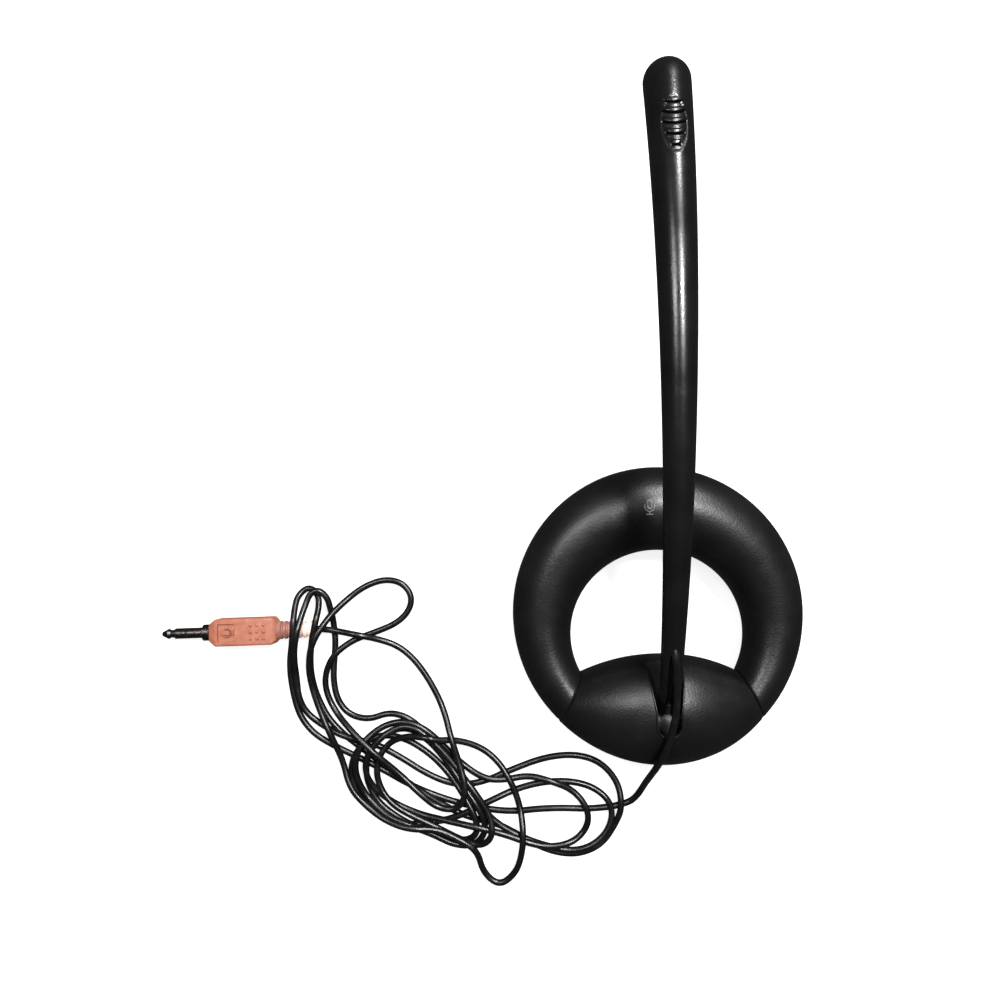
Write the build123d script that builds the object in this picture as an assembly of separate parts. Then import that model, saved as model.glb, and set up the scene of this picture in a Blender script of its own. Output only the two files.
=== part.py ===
"""Desktop microphone: ring base with a pivot housing, a folding curved wand, and a cord with a 3.5 mm plug.

Millimetres. +Z is up, +Y is the way the folded wand points, and the origin is on the rest plane,
straight under the wand's tilt axis.
"""
from build123d import *
import math
import os

os.makedirs("parts", exist_ok=True)

# ---- driving dimensions: base, seen in plan ----
BASE_Y = 32.3            # centre of the ring, ahead of the tilt axis
OUTER_X, OUTER_Y = 46.7, 47.2          # half-axes of the outer outline
HOLE_X, HOLE_Y = 28.0, 27.0            # half-axes of the hole
HOLE_SHIFT = -6.8        # hole centre, behind the ring's centre
SEAM_INNER, SEAM_OUTER = 117.0, 136.0  # seam ends, degrees from the front
HOUSING_FRONT = -13.0    # front of the pivot housing, from the ring's centre
# ---- driving dimensions: base, heights ----
FOOT_H = 1.0
PLATE_H = 2.0
SIT = 0.85               # how far up its half-height a section's middle sits
FRONT_HALF_H, SIDE_HALF_H, SEAM_HALF_H, HOUSING_HALF_H = 12.0, 8.3, 9.6, 14.5
WALL = 2.0
GAP = 0.05               # fitting gap between moulded base parts
TALL = 60.0              # height of cutting shapes, more than anything on the base
FOOT_R = 5.4
SCREW_R, SCREW_HEAD_R, SCREW_TOP = 1.0, 2.1, 9.5
BOSS_R = 2.7
HOLLOW_END = 0.94        # share of the housing's length that is hollow
BALLAST_MARGIN = 7.6     # steel arc, in from the outer outline
BALLAST_HOLE_MARGIN = 7.2
BALLAST_H, BALLAST_HALF_X, BALLAST_REAR = 8.0, 26.0, 14.0
BLOCK_X, BLOCK_Y, BLOCK_Z = 14.5, 3.0, 5.2     # middle of a housing ballast block, z above the plate
BLOCK_SIZE = (6.0, 11.0, 10.0)
# ---- driving dimensions: tilt joint ----
AXIS_Z = 19.5
PIN_R = 1.5
HUB_R, HUB_HALF = 4.6, 3.15
SLOT_HALF = 3.7
SLOT_REAR = -3.9         # rear end of the wand's slot, from the tilt axis
SLOT_FLOOR_Z = 19.0
CHEEK_T, CHEEK_R = 2.0, 5.3
WASHER_T, WASHER_R = 0.7, 4.2
RUN_GAP = 0.05           # between faces that turn on each other
PIN_PLAY = 0.02
YOKE_FOOT = (23.0, 13.0, 2.0)
YOKE_FOOT_Y = 1.5
PIN_HEAD_R, PIN_HEAD_T, PIN_END = 2.6, 1.0, 1.4
SPRING_R, SPRING_T = 3.2, 0.6
CLIP_R, CLIP_T = 2.9, 0.7
# ---- driving dimensions: wand ----
WAND_LINE = 8.0          # straight run out of the hub
WAND_START, WAND_BEND, WAND_END = 42.0, 24.0, -14.0   # slopes along the wand, degrees
BEND_R, BOW_R = 45.0, 269.8
HALF_W_LOW, HALF_W_TOP = 3.0, 7.1
DEPTH_SHARE = 0.92       # half-depth over half-width
SHELL_START = 5.2
SHELL_WALL = 1.2
DOME_SHARES = (0.35, 0.6, 0.8, 0.92, 0.985)   # stations over the domed head
SLIT_TOP, SLIT_HALF = 31.0, 1.25
SLIT_LIFT, SLIT_DEPTH = 5.0, 8.6
NECK_END = 8.5
GRILLE_BACK = 26.5       # grille centre, back from the tip
GRILLE_PITCH = 3.2
GRILLE_SLOT, GRILLE_SLOT_DEPTH = 0.7, 4.4
GRILLE_WIDTHS = (5.2, 6.5, 6.5, 5.2, 2.8)
RECESS_HALF_W, RECESS_HALF_L, RECESS_LIFT, RECESS_H = 3.9, 10.4, 1.6, 4.0
CAPSULE_R, CAPSULE_H = 3.0, 4.4
BOOT_R, BOOT_H, BOOT_PORT_R = 3.4, 4.8, 1.6
FOAM_SIZE, FOAM_LIFT = (4.6, 0.8, 10.0), 2.95
CABLE_GAP = 3.9          # from the capsule's middle to the end of the cable
CABLE_END = 33.5         # where the cable inside the wand meets the cord's tail
CLAMP_AT, CLAMP_SIZE = 38.0, (2.7, 2.5, 4.0)
# ---- driving dimensions: cord and plug ----
CORD_D = 2.1
PLUG_END = Vector(-113.6, 27.8, 3.6)   # cord end of the strain relief
PLUG_TURN = 1.2          # degrees about Z
RELIEF_L, RELIEF_R = 12.0, 3.1
BODY_L, BODY_W, BODY_H = 22.7, 9.0, 7.2
COLLAR_L, COLLAR_R = 2.3, 2.7
GROOVES, GROOVE_START, GROOVE_PITCH, GROOVE_W, GROOVE_R = 4, 2.2, 2.4, 0.8, 2.2
JACK_R = 1.75
JACK_MARKS = (0.0, 4.4, 5.0, 8.1, 8.7, 14.0)  # from the tip's end: tip, insulator, ring, insulator, sleeve
TIP_WAIST_R, TIP_POINT_R = 1.25, 0.7

BOTTOM_Z = FOOT_H
SPLIT_Z = FOOT_H + PLATE_H


def save(name, *solids):
    """Write one named sub-part."""
    shape = solids[0] if len(solids) == 1 else Compound(children=list(solids))
    export_step(shape, f"parts/{name}.step")


# ---------------------------------------------------------------- base, sections
def on_ellipse(half_x, half_y, centre_y, degrees):
    """A point of a plan ellipse, at an angle from the front."""
    angle = math.radians(degrees)
    return Vector(half_x * math.sin(angle), centre_y + half_y * math.cos(angle), 0)


def ring_section(degrees):
    """Inner point, outer point and half-height of the tube at an angle round the hole."""
    inner = on_ellipse(HOLE_X, HOLE_Y, BASE_Y + HOLE_SHIFT, degrees)
    outer = on_ellipse(OUTER_X, OUTER_Y, BASE_Y, degrees * SEAM_OUTER / SEAM_INNER)
    front = (1 + math.cos(math.radians(degrees))) / 2
    half_h = SIDE_HALF_H + (FRONT_HALF_H - SIDE_HALF_H) * front ** 1.6
    to_seam = max(0.0, (abs(degrees) - 80) / (SEAM_INNER - 80))
    return inner, outer, half_h + (SEAM_HALF_H - SIDE_HALF_H) * to_seam ** 1.5


def housing_section(share):
    """The same for the pivot housing; share runs from -1 at one seam to 1 at the other."""
    seam = on_ellipse(HOLE_X, HOLE_Y, BASE_Y + HOLE_SHIFT, SEAM_INNER)
    front_y = BASE_Y + HOUSING_FRONT
    sagitta = front_y - seam.Y
    radius = (seam.X ** 2 + sagitta ** 2) / (2 * sagitta)
    x = share * seam.X
    inner = Vector(x, front_y - radius + math.sqrt(radius ** 2 - x ** 2), 0)
    outer = on_ellipse(OUTER_X, OUTER_Y, BASE_Y, 180 - share * (180 - SEAM_OUTER))
    rise = math.cos(math.radians(90 * share)) ** 0.9 if abs(share) < 1 else 0.0
    return inner, outer, SEAM_HALF_H + (HOUSING_HALF_H - SEAM_HALF_H) * rise


def smooth_oval(plane, half_w, half_h, first=0.0):
    """An oval face drawn from the same starting point whichever way it is longer."""
    turns = [math.tau * (i + first) / 12 for i in range(12)]
    local = [Vector(half_w * math.cos(t), half_h * math.sin(t), 0) for t in turns]
    edge = Edge.make_spline([plane.from_local_coords(p) for p in local], periodic=True)
    return Face(Wire([edge]))


def oval(inner, outer, half_h, inset):
    """An upright oval face between the two plan points, inset by a wall."""
    middle = (inner + outer) / 2
    along = (outer - inner).normalized()
    half_w = (outer - inner).length / 2
    centre = Vector(middle.X, middle.Y, BOTTOM_Z + SIT * half_h)
    plane = Plane(origin=centre, x_dir=along, z_dir=along.cross(Vector(0, 0, 1)))
    return smooth_oval(plane, half_w - inset, half_h - inset)


def ring_tube(inset=0.0, ends=SEAM_INNER):
    steps = 14
    angles = [ends * (2 * i / steps - 1) for i in range(steps + 1)]
    return loft([oval(*ring_section(a), inset) for a in angles])


def housing_body(inset=0.0, ends=1.0):
    steps = 8
    shares = [ends * (2 * i / steps - 1) for i in range(steps + 1)]
    return loft([oval(*housing_section(s), inset) for s in shares])


def between(low, high):
    """A slab of space between two heights."""
    return Pos(0, BASE_Y, (low + high) / 2) * Box(200, 200, high - low)


def post(point, radius, low, high):
    """An upright cylinder between two heights."""
    return Pos(point.X, point.Y, (low + high) / 2) * Cylinder(radius, high - low)


def tube_middle(degrees):
    inner, outer, _ = ring_section(degrees)
    return (inner + outer) / 2


# ---------------------------------------------------------------- base, parts
SCREW_POINTS = [tube_middle(a) for a in (-98, -48, 48, 98)]
HOUSING_SCREWS = [Vector(side * 22.0, 3.0, 0) for side in (-1, 1)]
YOKE_SCREWS = [Vector(side * 9.0, YOKE_FOOT_Y, 0) for side in (-1, 1)]
FOOT_POINTS = [Vector(0, 0, 0), tube_middle(-26), tube_middle(26)]
HEAD_LOW, HEAD_HIGH = BOTTOM_Z + 0.3, BOTTOM_Z + 1.3


def build_base():
    """Covers, base plate, ballast, feet and screws."""
    ring = ring_tube()
    housing = housing_body()
    above = between(SPLIT_Z + GAP, TALL)

    cover = (ring - ring_tube(WALL, SEAM_INNER * 0.97)) & above
    ring_middle = ring_tube(WALL / 2, SEAM_INNER * 0.985)
    for point in SCREW_POINTS:
        cover += post(point, BOSS_R, SPLIT_Z + GAP, TALL) & ring_middle
        cover -= post(point, SCREW_R, 0, SCREW_TOP)
    save("ring_cover", *cover.solids())

    shell = (housing - housing_body(WALL, HOLLOW_END)) & above
    housing_middle = housing_body(WALL / 2, 0.97)
    for point in HOUSING_SCREWS:
        shell += post(point, BOSS_R, SPLIT_Z + GAP, TALL) & housing_middle
        shell -= post(point, SCREW_R, 0, SCREW_TOP)
    shell -= slot_space()
    save("pivot_housing", *shell.solids())

    plate = (ring & between(BOTTOM_Z, SPLIT_Z)) + (housing & between(BOTTOM_Z, SPLIT_Z))
    for point in SCREW_POINTS + HOUSING_SCREWS + YOKE_SCREWS:
        plate -= post(point, SCREW_R, 0, SCREW_TOP)
        plate -= post(point, SCREW_HEAD_R, 0, HEAD_HIGH)
    save("base_plate", plate)

    screws = []
    for point in SCREW_POINTS + HOUSING_SCREWS:
        shank = post(point, SCREW_R, HEAD_HIGH, SCREW_TOP)
        screws.append(post(point, SCREW_HEAD_R, HEAD_LOW, HEAD_HIGH) + shank)
    save("cover_screws", *screws)
    save("rubber_feet", *[post(point, FOOT_R, 0, FOOT_H) for point in FOOT_POINTS])

    band = Ellipse(OUTER_X - BALLAST_MARGIN, OUTER_Y - BALLAST_MARGIN)
    band -= Pos(0, HOLE_SHIFT) * Ellipse(HOLE_X + BALLAST_HOLE_MARGIN, HOLE_Y + BALLAST_HOLE_MARGIN)
    front_part = Box(2 * BALLAST_HALF_X, TALL, TALL, align=(Align.CENTER, Align.MIN, Align.MIN))
    arc = Pos(0, BASE_Y, SPLIT_Z + 4 * GAP) * extrude(band, BALLAST_H)
    arc &= Pos(0, BASE_Y + BALLAST_REAR, 0) * front_part
    for point in SCREW_POINTS:
        arc -= post(point, BOSS_R + 8 * GAP, 0, TALL)
    save("ring_ballast", *arc.solids())
    blocks = [Pos(side * BLOCK_X, BLOCK_Y, SPLIT_Z + BLOCK_Z) * Box(*BLOCK_SIZE) for side in (-1, 1)]
    save("housing_ballast", *blocks)


# ---------------------------------------------------------------- tilt joint
def slot_space():
    """The wand's slot: round at the rear end, open to the front and the top."""
    round_end = Cylinder(SLOT_HALF, TALL, align=(Align.CENTER, Align.CENTER, Align.MIN))
    straight = Box(2 * SLOT_HALF, TALL, TALL, align=(Align.CENTER, Align.MIN, Align.MIN))
    return Pos(0, SLOT_REAR + SLOT_HALF, SLOT_FLOOR_Z) * (round_end + straight)


def across(radius, x_low, x_high):
    """A cylinder along the tilt axis between two x."""
    return Pos((x_low + x_high) / 2, 0, AXIS_Z) * Rot(0, 90, 0) * Cylinder(radius, x_high - x_low)


def build_joint():
    """Yoke, pin, washers and clip: everything that holds the hub but doesn't turn."""
    washer_in = HUB_HALF + 2 * RUN_GAP
    cheek_in = washer_in + WASHER_T + RUN_GAP
    cheek_out = cheek_in + CHEEK_T
    bottom = SPLIT_Z + GAP
    yoke = Pos(0, YOKE_FOOT_Y, bottom + YOKE_FOOT[2] / 2) * Box(*YOKE_FOOT)
    for side in (-1, 1):
        height = AXIS_Z - bottom
        middle = Pos(side * (cheek_in + cheek_out) / 2, 0, bottom + height / 2)
        low, high = sorted((side * cheek_in, side * cheek_out))
        yoke += middle * Box(CHEEK_T, 2 * CHEEK_R, height) + across(CHEEK_R, low, high)
    yoke -= across(PIN_R, -TALL, TALL)
    for point in YOKE_SCREWS:
        yoke -= post(point, SCREW_R, 0, SCREW_TOP)
    save("pivot_yoke", yoke)
    screws = []
    for point in YOKE_SCREWS:
        shank = post(point, SCREW_R, HEAD_HIGH, bottom + YOKE_FOOT[2])
        screws.append(post(point, SCREW_HEAD_R, HEAD_LOW, HEAD_HIGH) + shank)
    save("yoke_screws", *screws)

    clip_x = cheek_out + SPRING_T
    head = across(PIN_HEAD_R, -cheek_out - PIN_HEAD_T, -cheek_out)
    save("pivot_pin", across(PIN_R, -cheek_out, clip_x + PIN_END) + head)
    loose_pin = across(PIN_R + PIN_PLAY, -TALL, TALL)
    washers = []
    for side in (-1, 1):
        low, high = sorted((side * washer_in, side * (washer_in + WASHER_T)))
        washers.append(across(WASHER_R, low, high) - loose_pin)
    save("friction_washers", *washers)
    save("spring_washer", across(SPRING_R, cheek_out + PIN_PLAY, clip_x - PIN_PLAY) - loose_pin)
    save("pin_clip", across(CLIP_R, clip_x, clip_x + CLIP_T) - across(PIN_R, -TALL, TALL))


# ---------------------------------------------------------------- wand
def wand_length():
    return (WAND_LINE + BEND_R * math.radians(WAND_START - WAND_BEND)
            + BOW_R * math.radians(WAND_BEND - WAND_END))


def wand_at(distance):
    """Point on the wand's middle line, and its slope in degrees, at a distance from the tilt axis."""
    y = WAND_LINE * math.cos(math.radians(WAND_START))
    z = AXIS_Z + WAND_LINE * math.sin(math.radians(WAND_START))
    if distance <= WAND_LINE:
        share = distance / WAND_LINE
        return Vector(0, y * share, AXIS_Z + (z - AXIS_Z) * share), WAND_START
    left = distance - WAND_LINE
    slope = WAND_START
    for radius, end in ((BEND_R, WAND_BEND), (BOW_R, WAND_END)):
        turn = min(math.degrees(left / radius), slope - end)
        new = slope - turn
        y += radius * (math.sin(math.radians(slope)) - math.sin(math.radians(new)))
        z += radius * (math.cos(math.radians(new)) - math.cos(math.radians(slope)))
        left -= radius * math.radians(turn)
        slope = new
    return Vector(0, y, z), slope


def half_width(distance):
    """Half-width of the wand: slim at the hub, widest at the head."""
    share = distance / wand_length()
    return HALF_W_LOW + (HALF_W_TOP - HALF_W_LOW) * share ** 1.15


def heading(slope):
    """Direction along the wand towards its tip, where it has this slope in degrees."""
    return Vector(0, math.cos(math.radians(slope)), math.sin(math.radians(slope)))


def rear_side(slope):
    """Direction out of the wand's rear side."""
    return Vector(0, -math.sin(math.radians(slope)), math.cos(math.radians(slope)))


def wand_plane(distance, lift=0.0):
    """A plane across the wand, lifted towards its rear side: x is -X, y points out of that side."""
    point, slope = wand_at(distance)
    return Plane(origin=point + rear_side(slope) * lift, x_dir=(-1, 0, 0), z_dir=heading(slope))


HEAD_L = HALF_W_TOP      # the domed end


def wand_solid(inset, start):
    """The wand as one smooth body, from a distance along it to the end of its domed head."""
    last = wand_length() - HEAD_L
    steps = 20
    places = [start + (last - start) * i / steps for i in range(steps + 1)]
    shaft = [section_of_wand(place, 1.0, inset, last) for place in places]
    dome = [shaft[-1]]
    for share in DOME_SHARES:
        place = last + share * (HEAD_L - inset)
        dome.append(section_of_wand(place, math.sqrt(1 - share ** 2), inset, last))
    return loft(shaft) + loft(dome)


def section_of_wand(distance, size, inset, last):
    """The wand's oval at a distance along it, drawn smaller by size on the domed end."""
    half_w = half_width(min(distance, last))
    oval_w = size * (half_w - inset)
    oval_depth = size * (half_w * DEPTH_SHARE - inset)
    return smooth_oval(wand_plane(distance), oval_w, oval_depth, first=0.5)


def side_of_wand(rear):
    """All the space on one side of the wand's middle line."""
    past_end = 20.0
    first, slope = wand_at(0)
    start = first - heading(slope) * past_end
    bend, _ = wand_at(WAND_LINE)
    bend_mid, _ = wand_at(WAND_LINE + BEND_R * math.radians(WAND_START - WAND_BEND) / 2)
    bow, _ = wand_at(WAND_LINE + BEND_R * math.radians(WAND_START - WAND_BEND))
    bow_mid, _ = wand_at(wand_length() - BOW_R * math.radians(WAND_BEND - WAND_END) / 2)
    tip, slope = wand_at(wand_length())
    past = tip + heading(slope) * past_end
    far_z = 150 if rear else -150
    edges = [
        Edge.make_line(start, bend),
        Edge.make_three_point_arc(bend, bend_mid, bow),
        Edge.make_three_point_arc(bow, bow_mid, tip),
        Edge.make_line(tip, past),
        Edge.make_line(past, Vector(0, past.Y, far_z)),
        Edge.make_line(Vector(0, past.Y, far_z), Vector(0, start.Y, far_z)),
        Edge.make_line(Vector(0, start.Y, far_z), start),
    ]
    face = Face(Wire(edges))
    return extrude(face, past_end, dir=(1, 0, 0), both=True)


def grille_cuts(widths, rear):
    """A shallow oval recess and a row of slots through one side of the head."""
    centre = wand_length() - GRILLE_BACK
    sign = 1 if rear else -1
    skin = half_width(centre) * DEPTH_SHARE
    oval_block = scale(Cylinder(1, RECESS_H), by=(RECESS_HALF_W, RECESS_HALF_L, 1))
    cuts = [wand_plane(centre, sign * (skin + RECESS_LIFT)).location * Rot(90, 0, 0) * oval_block]
    for i, width in enumerate(widths):
        slot_at = centre + (len(widths) // 2 - i) * GRILLE_PITCH
        cuts.append(wand_plane(slot_at, sign * skin).location * Box(width, GRILLE_SLOT_DEPTH, GRILLE_SLOT))
    return cuts


def build_wand():
    """Two shells, the hub, the capsule with its boot and foams, and the cable inside."""
    hollow = wand_solid(0, SHELL_START) - wand_solid(SHELL_WALL, SHELL_START - 0.5)
    rear = hollow & side_of_wand(True)
    front = hollow & side_of_wand(False)
    for cut in grille_cuts(GRILLE_WIDTHS, True):
        rear -= cut
    for cut in grille_cuts(GRILLE_WIDTHS, False):
        front -= cut
    slit_steps = 6
    step = (SLIT_TOP - SHELL_START) / slit_steps
    for i in range(slit_steps):
        distance = SHELL_START + (i + 0.5) * step
        rear -= wand_plane(distance, SLIT_LIFT).location * Box(2 * SLIT_HALF, SLIT_DEPTH, step + 1)
    rear -= wand_plane(SHELL_START, SLIT_LIFT).location * Box(2 * SLIT_HALF, SLIT_DEPTH, step + 2)
    save("wand_rear_shell", *rear.solids())
    save("wand_front_shell", *front.solids())

    neck_r = half_width(SHELL_START) * DEPTH_SHARE - SHELL_WALL - 0.2
    hub = across(HUB_R, -HUB_HALF, HUB_HALF)
    hub += wand_plane(NECK_END / 2).location * Cylinder(neck_r, NECK_END)
    hub -= across(PIN_R + RUN_GAP, -HUB_R, HUB_R)
    save("wand_hub", hub)

    capsule_at = wand_length() - GRILLE_BACK
    stand = wand_plane(capsule_at).location * Rot(90, 0, 0)
    can = Cylinder(CAPSULE_R, CAPSULE_H)
    save("mic_capsule", stand * can)
    save("capsule_boot", stand * (Cylinder(BOOT_R, BOOT_H) - can - Cylinder(BOOT_PORT_R, 2 * BOOT_H)))
    pads = [wand_plane(capsule_at, sign * FOAM_LIFT).location * Box(*FOAM_SIZE) for sign in (-1, 1)]
    save("foam_screens", *pads)

    save("inner_cable", cable_along(capsule_at - CABLE_GAP, CABLE_END))
    save("cord_clamp", wand_plane(CLAMP_AT).location * (Box(*CLAMP_SIZE) - Cylinder(CORD_D / 2, TALL)))
    save("cord_tail", tail_of_cord())


def cable_along(start, end):
    """Cord along the wand's middle line, between two distances on the bow."""
    first, slope = wand_at(start)
    middle, _ = wand_at((start + end) / 2)
    last, _ = wand_at(end)
    arc = Edge.make_three_point_arc(first, middle, last)
    profile = Plane(origin=first, x_dir=(1, 0, 0), z_dir=heading(slope) * -1) * Circle(CORD_D / 2)
    return sweep(profile, path=arc)


def tail_of_cord():
    """Cord from inside the wand, out through the slit and down its rear side."""
    last = 16.0
    outside = half_width(last) * DEPTH_SHARE + CORD_D / 2 + 0.1
    route = [
        (CABLE_END, 0.0),
        (30.5, 0.4),
        (27.0, 2.1),
        (23.5, outside - 0.6),
        (19.5, outside),
        (last, outside + 0.1),
    ]
    return cord_tube([wand_plane(distance, lift).origin for distance, lift in route], "cord tail")


# ---------------------------------------------------------------- cord and plug
def cord_tube(points, label):
    """A round cord: straight runs joined by arcs as large as the runs allow."""
    radii = []
    for before, here, after in zip(points, points[1:], points[2:]):
        turn = (here - before).get_angle(after - here)
        run = min((here - before).length, (after - here).length)
        radii.append(0.45 * run / math.tan(math.radians(turn / 2)))
    print(label, "bend radii:", ", ".join(f"{radius:.1f}" for radius in radii))
    path = FilletPolyline(*points, radius=radii)
    profile = Plane(origin=points[0], z_dir=points[1] - points[0]) * Circle(CORD_D / 2)
    tube = sweep(profile, path=path.wire())
    expected = math.pi * (CORD_D / 2) ** 2 * path.length
    print(label, f"length {path.length:.1f}, volume {tube.volume:.1f}, section times length {expected:.1f}")
    return tube


# From the housing's rear lip, over the back of the housing and down to the table, to the hank.
LEAD_POINTS = [
    Vector(-1.8, -4.4, 29.1),
    Vector(-2.2, -7.3, 28.5),
    Vector(-2.9, -10.1, 26.7),
    Vector(-3.8, -13.7, 23.0),
    Vector(-4.6, -17.5, 17.5),
    Vector(-5.1, -21.3, 11.0),
    Vector(-5.6, -25.7, 5.3),
    Vector(-6.5, -29.5, 2.2),
    Vector(-8.4, -32.6, 1.15),
    Vector(-11.6, -34.4, 1.05),
    Vector(-15.4, -34.4, 1.05),
]

# Outline of the tangled hank on the table, clockwise from the lead's end.
HANK_OUTLINE = [
    (-15.4, -30.0), (-15.4, -40.0), (-19.5, -47.5), (-27.0, -51.0), (-35.0, -51.2), (-46.0, -49.0),
    (-50.0, -55.5), (-55.0, -58.6), (-60.0, -55.0), (-63.0, -48.8), (-74.0, -41.5), (-87.0, -40.2),
    (-95.0, -37.6), (-101.5, -31.5), (-105.5, -22.0), (-106.5, -13.5), (-113.0, -11.0), (-120.0, -4.5),
    (-124.0, 4.0), (-125.2, 14.0), (-124.6, 25.0), (-122.0, 35.0), (-117.0, 41.5), (-109.0, 40.5),
    (-100.0, 44.5), (-91.0, 45.6), (-83.5, 43.0), (-80.5, 36.0), (-81.5, 28.0), (-77.5, 17.5),
    (-71.5, 6.5), (-67.0, -4.0), (-64.0, -8.5), (-55.0, -12.5), (-47.5, -18.0), (-38.0, -15.6),
    (-27.0, -14.6), (-19.5, -19.0),
]
HANK_LOW_H = 4.6
MIDDLE_H, MIDDLE_HALF_L, MIDDLE_HALF_W = 11.0, 27.0, 15.0    # the heap in the middle of the hank
MIDDLE_X, MIDDLE_Y, MIDDLE_TURN = -79.0, -20.0, -38.0
BRIDGE_SIZE, BRIDGE_X, BRIDGE_Y = (13.0, 18.0, 10.6), -117.2, 27.5    # loops that lie over the plug
TUNNEL_HALF = 3.8


def build_hank():
    """One closed solid with the outer shape of the hank, and a tunnel where it crosses the plug."""
    outline = Face(Wire.make_polygon([Vector(x, y, 0) for x, y in HANK_OUTLINE], close=True))
    hank = extrude(outline, HANK_LOW_H, dir=(0, 0, 1))
    heap = extrude(Ellipse(MIDDLE_HALF_L, MIDDLE_HALF_W), MIDDLE_H)
    hank += Pos(MIDDLE_X, MIDDLE_Y, 0) * Rot(0, 0, MIDDLE_TURN) * heap
    bridge = Box(*BRIDGE_SIZE, align=(Align.CENTER, Align.CENTER, Align.MIN))
    hank += Pos(BRIDGE_X, BRIDGE_Y, 0) * bridge & extrude(outline, TALL, dir=(0, 0, 1))
    tunnel = Box(2 * TUNNEL_HALF, 2 * TUNNEL_HALF, TALL, align=(Align.CENTER, Align.CENTER, Align.MIN))
    hank -= plug_piece(tunnel)
    save("cord_hank", hank)


def plug_piece(shape):
    """Place a piece drawn along +Z from the cord end towards the tip."""
    return Pos(PLUG_END) * Rot(0, 0, PLUG_TURN) * Rot(0, -90, 0) * shape


def ring_between(radius_low, radius_high, low, high):
    """A round piece on the plug's axis; its radius may change along it."""
    if radius_low == radius_high:
        return Pos(0, 0, (low + high) / 2) * Cylinder(radius_low, high - low)
    return Pos(0, 0, (low + high) / 2) * Cone(radius_low, radius_high, high - low)


def build_plug():
    """Moulded body, ribbed strain relief, collar and the jack's contacts."""
    relief = ring_between(RELIEF_R * 0.86, RELIEF_R, 0, RELIEF_L)
    for i in range(GROOVES):
        low = GROOVE_START + GROOVE_PITCH * i
        high = low + GROOVE_W
        outer_r = 2 * RELIEF_R
        relief -= ring_between(outer_r, outer_r, low, high) - ring_between(GROOVE_R, GROOVE_R, low, high)
    save("plug_relief", plug_piece(relief))

    body = Pos(0, 0, RELIEF_L + BODY_L / 2) * Box(BODY_H, BODY_W, BODY_L)
    body = chamfer(body.edges().filter_by(Axis.Z), 0.7)
    body = chamfer(body.faces().sort_by(Axis.Z)[-1].edges(), 1.0)
    save("plug_body", plug_piece(body))

    jack_low = RELIEF_L + BODY_L + COLLAR_L
    tip_end = jack_low + JACK_MARKS[-1]
    collar = ring_between(COLLAR_R, COLLAR_R, RELIEF_L + BODY_L, jack_low)
    save("plug_collar", plug_piece(collar))
    marks = [tip_end - mark for mark in JACK_MARKS]
    save("plug_sleeve", plug_piece(ring_between(JACK_R, JACK_R, marks[5], marks[4])))
    insulators = [ring_between(JACK_R, JACK_R, marks[4], marks[3]),
                  ring_between(JACK_R, JACK_R, marks[2], marks[1])]
    save("plug_insulators", *[plug_piece(piece) for piece in insulators])
    save("plug_ring", plug_piece(ring_between(JACK_R, JACK_R, marks[3], marks[2])))
    waist, shoulder = marks[1] + 1.5, marks[1] + 2.3
    tip = ring_between(JACK_R * 0.8, TIP_WAIST_R, marks[1], waist)
    tip += ring_between(TIP_WAIST_R, JACK_R * 0.98, waist, shoulder)
    tip += ring_between(JACK_R * 0.98, TIP_POINT_R, shoulder, marks[0])
    save("plug_tip", plug_piece(tip))


build_base()
build_joint()
build_wand()
save("cord_lead", cord_tube(LEAD_POINTS, "cord lead"))
build_hank()
build_plug()
print(f"wand length {wand_length():.1f} mm, tip at {wand_at(wand_length())[0]}")
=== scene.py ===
"""Looks of the desktop microphone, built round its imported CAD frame: shells, grille, cord and plug.

The frame of the CAD: +Y is the way the folded wand points, +Z is up, and the origin is on the table, straight
under the tilt axis. Shapes are worked out in millimetres and scaled by MM into Blender's metres.
"""
import math

import bmesh
import bpy
from mathutils import Matrix, Vector
from mathutils.bvhtree import BVHTree


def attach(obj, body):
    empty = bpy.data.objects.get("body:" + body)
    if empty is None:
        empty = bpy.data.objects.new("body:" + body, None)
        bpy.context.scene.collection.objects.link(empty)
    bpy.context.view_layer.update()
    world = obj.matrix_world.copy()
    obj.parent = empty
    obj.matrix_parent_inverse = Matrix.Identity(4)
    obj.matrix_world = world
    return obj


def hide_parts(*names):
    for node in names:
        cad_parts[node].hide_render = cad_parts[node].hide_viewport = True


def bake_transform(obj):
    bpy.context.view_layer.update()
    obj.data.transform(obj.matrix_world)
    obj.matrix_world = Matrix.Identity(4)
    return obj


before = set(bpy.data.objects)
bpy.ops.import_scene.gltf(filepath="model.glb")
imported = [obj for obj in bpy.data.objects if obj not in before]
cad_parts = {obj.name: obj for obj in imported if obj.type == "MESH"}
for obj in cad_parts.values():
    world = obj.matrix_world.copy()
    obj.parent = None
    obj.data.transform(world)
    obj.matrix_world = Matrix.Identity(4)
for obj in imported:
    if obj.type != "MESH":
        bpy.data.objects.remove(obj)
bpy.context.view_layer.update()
MM = 0.001
SPLIT_Z = 3.05           # the covers start here, above the base plate
AXIS_Z = 19.5            # tilt axis
OVERHEAD = 80.0          # above every piece that a ray is cast at


# ---------------------------------------------------------------- mesh helpers
def mesh_object(name, points, faces, sharp=35):
    """A smooth-shaded object from points in millimetres, with edges over `sharp` degrees kept crisp."""
    mesh = bpy.data.meshes.new(name)
    mesh.from_pydata([Vector(p) * MM for p in points], [], faces)
    piece = bpy.data.objects.new(name, mesh)
    bpy.context.scene.collection.objects.link(piece)
    shade(piece, sharp)
    return piece


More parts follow.
